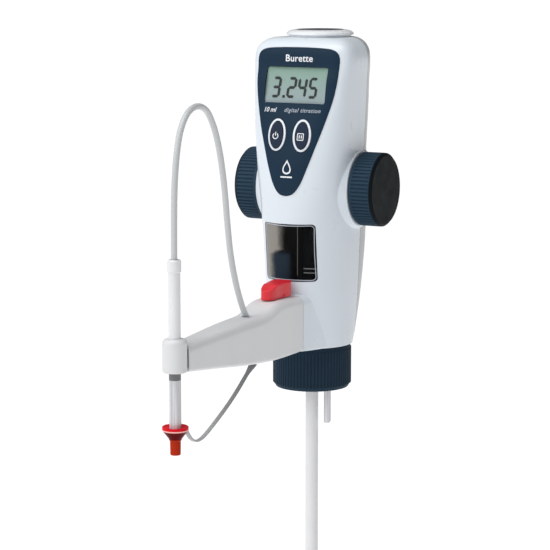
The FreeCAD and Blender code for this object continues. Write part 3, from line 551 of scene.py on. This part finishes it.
def text_piece(
    name, words, size, x, z, key, spot, body,
    lean=0.0, spacing=1.0, weight=0.0, lift=0.00002, thick=0.00004,
):
    """Raised print: letters as thin closed shapes on a surface."""
    curve = bpy.data.curves.new(name, "FONT")
    curve.body = words
    curve.size = size
    curve.align_x = "CENTER"
    curve.align_y = "CENTER"
    curve.shear = lean
    curve.space_character = spacing
    curve.extrude = thick / 2
    curve.offset = weight
    curve.resolution_u = 4
    holder = bpy.data.objects.new(name + "_line", curve)
    bpy.context.scene.collection.objects.link(holder)
    mesh = bpy.data.meshes.new_from_object(holder)
    bpy.data.objects.remove(holder)
    bpy.data.curves.remove(curve)
    for v in mesh.vertices:
        v.co = spot(x + v.co.x, z + v.co.y, lift + v.co.z + thick / 2)
    mesh.name = name
    bm = bmesh.new()
    bm.from_mesh(mesh)
    bmesh.ops.remove_doubles(bm, verts=bm.verts, dist=1e-7)
    bmesh.ops.recalc_face_normals(bm, faces=bm.faces)
    bm.to_mesh(mesh)
    bm.free()
    mesh.materials.clear()
    mesh.materials.append(M[key])
    obj = bpy.data.objects.new(name, mesh)
    bpy.context.scene.collection.objects.link(obj)
    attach(obj, body)
    return obj


def frames_along(points, side=Vector((1, 0, 0))):
    """(point, side, up) along a line in a plane that side is square to."""
    out = []
    for i, p in enumerate(points):
        ahead = points[min(i + 1, len(points) - 1)] - points[max(i - 1, 0)]
        ahead.normalize()
        up = side.cross(ahead).normalized()
        out.append((p, side, up))
    return out


def swept(
    name, points, section, key, body,
    side=Vector((1, 0, 0)), closed=False, smooth=40.0, widths=None,
):
    """Closed sweep of a section of (side, up) offsets along points.

    Where widths is given, section is a function, and each point's number goes into it.
    """
    rings = frames_along(points, side)
    if closed:
        rings = []
        for i, p in enumerate(points):
            ahead = (points[(i + 1) % len(points)] - points[i - 1]).normalized()
            rings.append((p, side, side.cross(ahead).normalized()))
    sections = [section(w) for w in widths] if widths else [section] * len(rings)
    verts, faces, count = [], [], len(sections[0])
    for (p, s, u), offsets in zip(rings, sections):
        verts += [p + s * a + u * b for a, b in offsets]
    spans = len(rings) if closed else len(rings) - 1
    for i in range(spans):
        k = (i + 1) % len(rings)
        for a in range(count):
            b = (a + 1) % count
            faces.append((i * count + a, i * count + b, k * count + b, k * count + a))
    if not closed:
        faces.append(tuple(reversed(range(count))))
        last = (len(rings) - 1) * count
        faces.append(tuple(last + a for a in range(count)))
    return place(name, verts, faces, key, body, smooth)


def circle(radius, count=24):
    turns = [2 * math.pi * i / count for i in range(count)]
    return [(radius * math.cos(a), radius * math.sin(a)) for a in turns]


def nurbs_line(name, route, fine=16):
    """Points along the NURBS line that has these control points."""
    curve = bpy.data.curves.new(name, "CURVE")
    curve.dimensions = "3D"
    curve.resolution_u = fine
    spline = curve.splines.new("NURBS")
    spline.points.add(len(route) - 1)
    for point, place_at in zip(spline.points, route):
        point.co = (*place_at, 1.0)
    spline.order_u = 3
    spline.use_endpoint_u = True
    holder = bpy.data.objects.new(name, curve)
    bpy.context.scene.collection.objects.link(holder)
    mesh = bpy.data.meshes.new_from_object(holder)
    points = [v.co.copy() for v in mesh.vertices]
    bpy.data.objects.remove(holder)
    bpy.data.curves.remove(curve)
    bpy.data.meshes.remove(mesh)
    return points


# ---- delivery hose: a fixed loop from the valve in the arm to the titrating tube ----
HOSE_RADIUS = 0.002
HOSE_ROUTE = [
    (0.0, -t * MM, z * MM)
    for t, z in (
        (66.1, 50.5),
        (80.0, 51.0),
        (95.0, 58.5),
        (108.5, 76.5),
        (120.0, 104.0),
        (124.8, 128.0),
        (129.3, 158.0),
        (137.5, 184.8),
        (147.73, 200.57),
        (155.76, 205.77),
        (165.2, 207.27),
        (174.44, 204.79),
        (181.9, 198.75),
        (188.3, 187.2),
        (192.9, 163.5),
        (194.0, 134.5),
        (194.0, 106.0),
    )
]
HOSE_SPLIT_Z = 0.116
hose_line = nurbs_line("hose_route", HOSE_ROUTE)
split = next(i for i, p in enumerate(hose_line) if p.z > HOSE_SPLIT_Z)
for hose_name, part, start, end, bodies in (
    (
        "delivery_hose_lower", hose_line[: split + 1],
        (0, -0.103, 0.068), (0, -0.1205, 0.1085), ("instrument", "holder"),
    ),
    (
        "delivery_hose_upper", hose_line[split:],
        (0, -0.1255, 0.13), (0, -0.1895, 0.13), ("holder", "cannula"),
    ),
):
    hose = swept(hose_name, part, circle(HOSE_RADIUS), "hose", None, smooth=60.0)
    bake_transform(hose)
    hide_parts("delivery_hose")

# ---- cap strap: a flat band from the arm's underside to the tip cap, in three joined pieces ----
STRAP_ROUTE = [
    (0.0, -t * MM, z * MM)
    for t, z in (
        (89.6, 30.4),
        (97.5, 26.0),
        (107.6, 19.5),
        (118.3, 13.2),
        (131.0, 6.9),
        (143.5, 1.4),
        (153.8, -2.9),
        (161.5, -5.3),
        (168.6, -5.2),
        (174.2, -2.5),
        (178.4, 1.8),
        (181.6, 6.4),
        (185.4, 8.8),
    )
]


def strap_section(half):
    """Section of the band: flat, with small chamfers, and half its width given."""
    thin, thick, chamfer = 0.0004, 0.0006, 0.0003
    side = [(-half, -thin), (-half + chamfer, -thick), (half - chamfer, -thick), (half, -thin)]
    return side + [(a, -b) for a, b in reversed(side)]


strap_line = nurbs_line("strap_route", STRAP_ROUTE)
STRAP_HALF = 0.0014
TAB_EXTRA = 0.0014
TAB_START = 0.0896
TAB_LENGTH = 0.008
CUT_A = 0.127
CUT_B = 0.158
cut_a = next(i for i, p in enumerate(strap_line) if -p.y > CUT_A)
cut_b = next(i for i, p in enumerate(strap_line) if -p.y > CUT_B)
for strap_name, part, start, end, bodies in (
    (
        "cap_strap_arm", strap_line[: cut_a + 1],
        (0, -0.093, 0.02), (0, -0.1255, 0.02), ("instrument", "holder"),
    ),
    (
        "cap_strap_middle", strap_line[cut_a : cut_b + 1],
        (0, -0.129, 0), (0, -0.156, 0), ("holder", "cannula"),
    ),
    (
        "cap_strap_cap", strap_line[cut_b:],
        (0, -0.160, 0), (0, -0.182, 0), ("cannula", "tip_cap"),
    ),
):
    widths = [
        STRAP_HALF + TAB_EXTRA * max(0.0, 1 - (-p.y - TAB_START) / TAB_LENGTH) for p in part
    ]
    strap = swept(
        strap_name, part, strap_section, "strap_grey", None, smooth=50.0, widths=widths
    )
    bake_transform(strap)
    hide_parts("cap_strap")


# ---- valve knob: the moulded grip with soft edges ----
def softened(node, voxel, rounds):
    """Finely remeshed and smoothed copy of a CAD node's shape."""
    source = NODES[node]
    copy = bpy.data.objects.new(node + "_soft", source.data.copy())
    bpy.context.scene.collection.objects.link(copy)
    remesh = copy.modifiers.new("remesh", "REMESH")
    remesh.mode = "VOXEL"
    remesh.voxel_size = voxel
    smooth = copy.modifiers.new("smooth", "SMOOTH")
    smooth.factor = 0.5
    smooth.iterations = rounds
    graph = bpy.context.evaluated_depsgraph_get()
    mesh = bpy.data.meshes.new_from_object(copy.evaluated_get(graph))
    copy.modifiers.clear()
    copy.data = mesh
    for p in mesh.polygons:
        p.use_smooth = True
    return copy


knob = softened("valve_knob", 0.0003, 10)
knob.data.materials.clear()
knob.data.materials.append(M["red_knob"])
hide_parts("valve_knob")
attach(knob, "valve")

# ---- display: segment digits behind the glass ----
SEGMENTS = {"2": "abged", "3": "abgcd", "4": "fgbc", "5": "afgcd"}
DIGIT_W, DIGIT_H, BAR = 6.9 * MM, 14.5 * MM, 1.95 * MM
DIGIT_LEAN = 0.06
SEGMENT_GAP = 0.05
CELL_DEPTH = 1.90 * MM


def bar(x0, z0, x1, z1):
    """Outline of one segment between two corner points, with mitred ends."""
    a, b = Vector((x0, z0)), Vector((x1, z1))
    along = (b - a).normalized()
    across = Vector((-along.y, along.x)) * (BAR / 2)
    tip = along * (BAR / 2)
    a += along * SEGMENT_GAP * MM
    b -= along * SEGMENT_GAP * MM
    return [a, a + tip - across, b - tip - across, b, b - tip + across, a + tip + across]


def digit(which, x, s):
    """Outlines of one seven-segment digit whose lower left corner is at x, s."""
    w, h = DIGIT_W - BAR, DIGIT_H - BAR
    x, s = x + BAR / 2, s + BAR / 2
    spots = {
        "a": (0, h, w, h),
        "g": (0, h / 2, w, h / 2),
        "d": (0, 0, w, 0),
        "f": (0, h / 2, 0, h),
        "b": (w, h / 2, w, h),
        "e": (0, 0, 0, h / 2),
        "c": (w, 0, w, h / 2),
    }
    out = []
    for key in SEGMENTS[which]:
        x0, z0, x1, z1 = spots[key]
        out.append([(x + p.x + DIGIT_LEAN * p.y, s + p.y) for p in bar(x0, z0, x1, z1)])
    return out


def behind_glass(x, s, lift):
    """Point lift in front of the display cell."""
    return in_panel_frame(x, s, CELL_DEPTH - lift)


DIGITS_S = -8.8 * MM
DOT = 1.9
outlines = []
for which, left in (("3", -18.9), ("2", -7.2), ("4", 0.7), ("5", 8.8)):
    outlines += digit(which, left * MM, DIGITS_S)
dot_x = -9.9 * MM
dot_right, dot_top = dot_x + DOT * MM, DIGITS_S + DOT * MM
outlines.append(
    [(dot_x, DIGITS_S), (dot_right, DIGITS_S), (dot_right, dot_top), (dot_x, dot_top)]
)
slab("display_digits", outlines, behind_glass, 0.03 * MM, 0.12 * MM, "segment", "instrument")

# ---- print on the panel and the key symbols ----
PRINT_LEAN = 0.25
PRINT_LOW, PRINT_HIGH = 0.01 * MM, 0.07 * MM
text_piece(
    "print_title", "Burette", 6.5 * MM, 1.0 * MM, 229.6 * MM, "print_white", on_panel, "instrument",
    spacing=1.04, weight=0.09 * MM,
)
text_piece(
    "print_volume", "10 ml", 4.3 * MM, -17.3 * MM, 195.0 * MM, "print_white", on_panel, "instrument",
    PRINT_LEAN, weight=0.05 * MM,
)
text_piece(
    "print_line", "digital titration", 3.9 * MM, 7.3 * MM, 195.1 * MM, "print_dim", on_panel, "instrument",
    PRINT_LEAN, spacing=1.12, weight=0.03 * MM,
)


def drop(size, count=48):
    """Outline of a falling drop."""
    out = []
    for i in range(count):
        a = 2 * math.pi * i / count
        out.append((size * 0.62 * math.sin(a) * math.sin(a / 2) ** 1.4 * 1.15, size * math.cos(a)))
    return out


DROP_AT = (0.0, 157.4 * MM)
DROP_WIDEN = 1.25
outer = [(DROP_AT[0] + DROP_WIDEN * x, DROP_AT[1] + z) for x, z in drop(4.9 * MM)]
inner = [(DROP_AT[0] + DROP_WIDEN * x, DROP_AT[1] - 0.3 * MM + z) for x, z in drop(3.5 * MM)]
band(
    "print_drop", outer, inner, on_panel, PRINT_LOW, PRINT_HIGH, "print_white", "instrument"
)
level = [(-4.3, 150.1), (4.3, 150.1), (4.3, 151.1), (-4.3, 151.1)]
slab(
    "print_level", [[(x * MM, z * MM) for x, z in level]], on_panel, PRINT_LOW, PRINT_HIGH,
    "print_white", "instrument",
)


KEY_RISE = 2.1 * MM
KEY_S = -35.6 * MM
POWER_X, STOP_X = -9.9 * MM, 8.9 * MM
SYMBOL_LOW, SYMBOL_HIGH = -0.02 * MM, 0.06 * MM


def on_key(x, s, lift):
    """Point lift in front of the keys' faces."""
    return in_panel_frame(x, s, -KEY_RISE - lift)


arc = [math.radians(a) for a in range(125, 416, 10)]
ring_outer = [(POWER_X + 2.2 * MM * math.cos(a), KEY_S + 2.2 * MM * math.sin(a)) for a in arc]
ring_inner = [(POWER_X + 1.6 * MM * math.cos(a), KEY_S + 1.6 * MM * math.sin(a)) for a in reversed(arc)]
stroke = [(-0.3, 0.2), (0.3, 0.2), (0.3, 2.8), (-0.3, 2.8)]
slab(
    "symbol_power",
    [ring_outer + ring_inner, [(POWER_X + x * MM, KEY_S + z * MM) for x, z in stroke]],
    on_key,
    SYMBOL_LOW,
    SYMBOL_HIGH,
    "print_white",
    "power_key",
)


def rounded_square(half, r, steps=5):
    out = []
    for k, (cx, cz) in enumerate(((1, 1), (-1, 1), (-1, -1), (1, -1))):
        for i in range(steps + 1):
            a = math.pi / 2 * (k + i / steps)
            out.append((cx * (half - r) + r * math.cos(a), cz * (half - r) + r * math.sin(a)))
    return out


band(
    "symbol_frame",
    [(STOP_X + x, KEY_S + z) for x, z in rounded_square(2.5 * MM, 0.7 * MM)],
    [(STOP_X + x, KEY_S + z) for x, z in rounded_square(1.95 * MM, 0.4 * MM)],
    on_key,
    SYMBOL_LOW,
    SYMBOL_HIGH,
    "print_white",
    "stop_key",
)
symbol_bar = ((-0.35, 0), (0.35, 0), (0.35, 2.2), (-0.35, 2.2))
slab(
    "symbol_bars",
    [
        [(STOP_X + (x + dx) * MM, KEY_S + (z - 1.1) * MM) for dx, z in symbol_bar]
        for x in (-0.8, 0.8)
    ],
    on_key,
    SYMBOL_LOW,
    SYMBOL_HIGH,
    "print_white",
    "stop_key",
)


# ---- painted highlight as a pale bead round the panel's edge, and the pale line just inside the window's edge ----
SEARCH_STEP = 0.0005
HALVINGS = 12
INNER_REACH = 0.004


def outline_of(tree, centre, reach, count, inner_reach):
    """Distance and direction, round centre, of the outline that tree's faces have from the front."""
    out = []
    for i in range(count):
        a = 2 * math.pi * i / count
        d = (math.cos(a), math.sin(a))
        r = reach
        while r > inner_reach and front_y(tree, centre[0] + d[0] * r, centre[1] + d[1] * r) is None:
            r -= SEARCH_STEP
        low, high = r, r + SEARCH_STEP
        for _ in range(HALVINGS):
            mid = (low + high) / 2
            if front_y(tree, centre[0] + d[0] * mid, centre[1] + d[1] * mid) is None:
                high = mid
            else:
                low = mid
        out.append((low, d))
    return out


def bead(name, tree, surface, centre, reach, count, grow, radius, lift, key):
    """Thin bead on a surface, just outside an outline or, where grow is negative, inside it."""
    points = []
    for r, d in outline_of(tree, centre, reach, count, INNER_REACH):
        x, z = centre[0] + d[0] * (r + grow), centre[1] + d[1] * (r + grow)
        look = r + grow + (0.0004 if grow > 0 else 0.0)
        far = front_y(surface, centre[0] + d[0] * look, centre[1] + d[1] * look)
        points.append(Vector((x, far - lift, z)))
    return swept(
        name, points, circle(radius, 8), key, "instrument", side=Vector((0, 1, 0)), closed=True
    )


# Painted highlight: a pale bead along the panel's edge.
bead(
    "panel_edge_highlight", PANEL_TREE, SHELL_TREE, (0.0, 0.195), reach=0.075, count=360,
    grow=0.00012, radius=0.00032, lift=0.00012, key="pale_ring",
)
WINDOW_TREE = tree_of("inspection_window")
bead(
    "window_rim", WINDOW_TREE, WINDOW_TREE, (0.0, 0.0989), reach=0.034, count=360,
    grow=-0.0011, radius=0.0003, lift=0.0, key="print_dim",
)


# ---- marks on the metering cylinder: two dashes and a painted highlight stripe ----
CYLINDER_R = 10.5 * MM


def cylinder_mark(z, a0, a1, height, steps=12):
    """Thin closed patch on the glass cylinder between two angles in degrees."""
    verts, faces = [], []
    for i in range(steps + 1):
        a = math.radians(a0 + (a1 - a0) * i / steps)
        for r in (CYLINDER_R + 0.01 * MM, CYLINDER_R + 0.06 * MM):
            for dz in (-height / 2, height / 2):
                verts.append((r * math.sin(a), -r * math.cos(a), z + dz))
    for i in range(steps):
        k, n = 4 * i, 4 * i + 4
        for a, b in ((0, 1), (1, 3), (3, 2), (2, 0)):
            faces.append((k + a, k + b, n + b, n + a))
    faces.append((0, 2, 3, 1))
    last = 4 * steps
    faces.append((last, last + 1, last + 3, last + 2))
    return verts, faces


mark_verts, mark_faces = [], []
# Two printed dashes, and a tall thin stripe that is a painted highlight on the glass.
MARKS_AND_HIGHLIGHT = ((80.9, -9.0, 42.0, 0.7), (83.8, -9.0, 42.0, 0.7), (99.0, -60.0, -50.0, 42.0))
for z, a0, a1, height in MARKS_AND_HIGHLIGHT:
    v, f = cylinder_mark(z * MM, a0, a1, height * MM)
    mark_faces += [tuple(i + len(mark_verts) for i in face) for face in f]
    mark_verts += v
place("cylinder_marks_and_highlight", mark_verts, mark_faces, "mark_white_glow", "instrument")


# ---- bottle thread inside the collar ----
def thread(radius, depth, z0, turns, pitch, per_turn=72):
    """Closed helical ridge inside a wall of this radius, which runs out at both ends."""
    verts, faces = [], []
    total = int(turns * per_turn)
    for i in range(total + 1):
        a = 2 * math.pi * i / per_turn
        ease = min(1.0, i / 12.0, (total - i) / 12.0)
        ease = 0.04 + 0.96 * ease
        z = z0 + pitch * i / per_turn
        for r, dz in ((0.0, -1.0), (1.0, -0.35), (1.0, 0.35), (0.0, 1.0)):
            rr = radius + 0.05 * MM - (depth + 0.05 * MM) * r * ease
            verts.append((rr * math.cos(a), rr * math.sin(a), z + dz * 0.95 * MM * ease))
    for i in range(total):
        k, n = 4 * i, 4 * i + 4
        for a in range(4):
            b = (a + 1) % 4
            faces.append((k + a, k + b, n + b, n + a))
    faces.append((0, 1, 2, 3))
    last = 4 * total
    faces.append((last + 3, last + 2, last + 1, last))
    return verts, faces


verts, faces = thread(22.6 * MM, 1.1 * MM, 2.6 * MM, 3.4, 4.0 * MM)
place("collar_thread", verts, faces, "dark_blue", "base", smooth=50.0)


# ---- floor, world and lights ----
def floor_material():
    """Matt floor that glows almost white, so that no shadow or horizon line shows on it."""
    n = Nodes("floor")
    tone = n.mix(n.noise(3.0, 3.0), rgb(108, 108, 109), rgb(112, 112, 112))
    n.link(tone, n.shader.inputs["Base Color"])
    n.set(Roughness=1.0, Specular_IOR_Level=0.0, Emission_Color=WHITE, Emission_Strength=0.97)
    return n.material


FLOOR_Z = -0.30
floor_mesh = bpy.data.meshes.new("floor")
SIDE = 30.0
floor_corners = ((-SIDE, -SIDE), (SIDE, -SIDE), (SIDE, SIDE), (-SIDE, SIDE))
floor_mesh.from_pydata([(x, y, FLOOR_Z) for x, y in floor_corners], [], [(0, 1, 2, 3)])
floor_mesh.materials.append(floor_material())
floor = bpy.data.objects.new("floor", floor_mesh)
bpy.context.scene.collection.objects.link(floor)

world = bpy.data.worlds.new("world")
bpy.context.scene.world = world
world.use_nodes = True


ROOM_TOWARDS = (-0.56, -0.60, 0.57)
ROOM_SPAN = (-0.3, 0.8)
ROOM_LEVEL = (0.15, 0.54)


def soft_room(tree):
    """Even white room that is brighter towards the front left than behind the right side."""
    coords = tree.nodes.new("ShaderNodeTexCoord")
    dot = tree.nodes.new("ShaderNodeVectorMath")
    dot.operation = "DOT_PRODUCT"
    dot.inputs[1].default_value = ROOM_TOWARDS
    tree.links.new(coords.outputs["Generated"], dot.inputs[0])
    level = tree.nodes.new("ShaderNodeMapRange")
    set_range(level, *ROOM_SPAN, *ROOM_LEVEL)
    tree.links.new(dot.outputs["Value"], level.inputs["Value"])
    back = tree.nodes["Background"]
    back.inputs["Color"].default_value = WHITE
    tree.links.new(level.outputs["Result"], back.inputs["Strength"])


soft_room(world.node_tree)


def light(name, at, target, size, power):
    """Rectangular lamp at one point that faces another."""
    data = bpy.data.lights.new(name, "AREA")
    data.shape = "RECTANGLE"
    data.size, data.size_y = size
    data.energy = power
    obj = bpy.data.objects.new(name, data)
    bpy.context.scene.collection.objects.link(obj)
    obj.location = at
    obj.rotation_mode = "QUATERNION"
    obj.rotation_quaternion = (Vector(target) - Vector(at)).to_track_quat("-Z", "Y")


TARGET = (0.0, -0.05, 0.11)
light("key", (-0.9, -1.7, 1.3), TARGET, (1.2, 1.2), 11.0)
light("top", (-0.1, -0.7, 1.9), TARGET, (1.4, 1.4), 19.0)
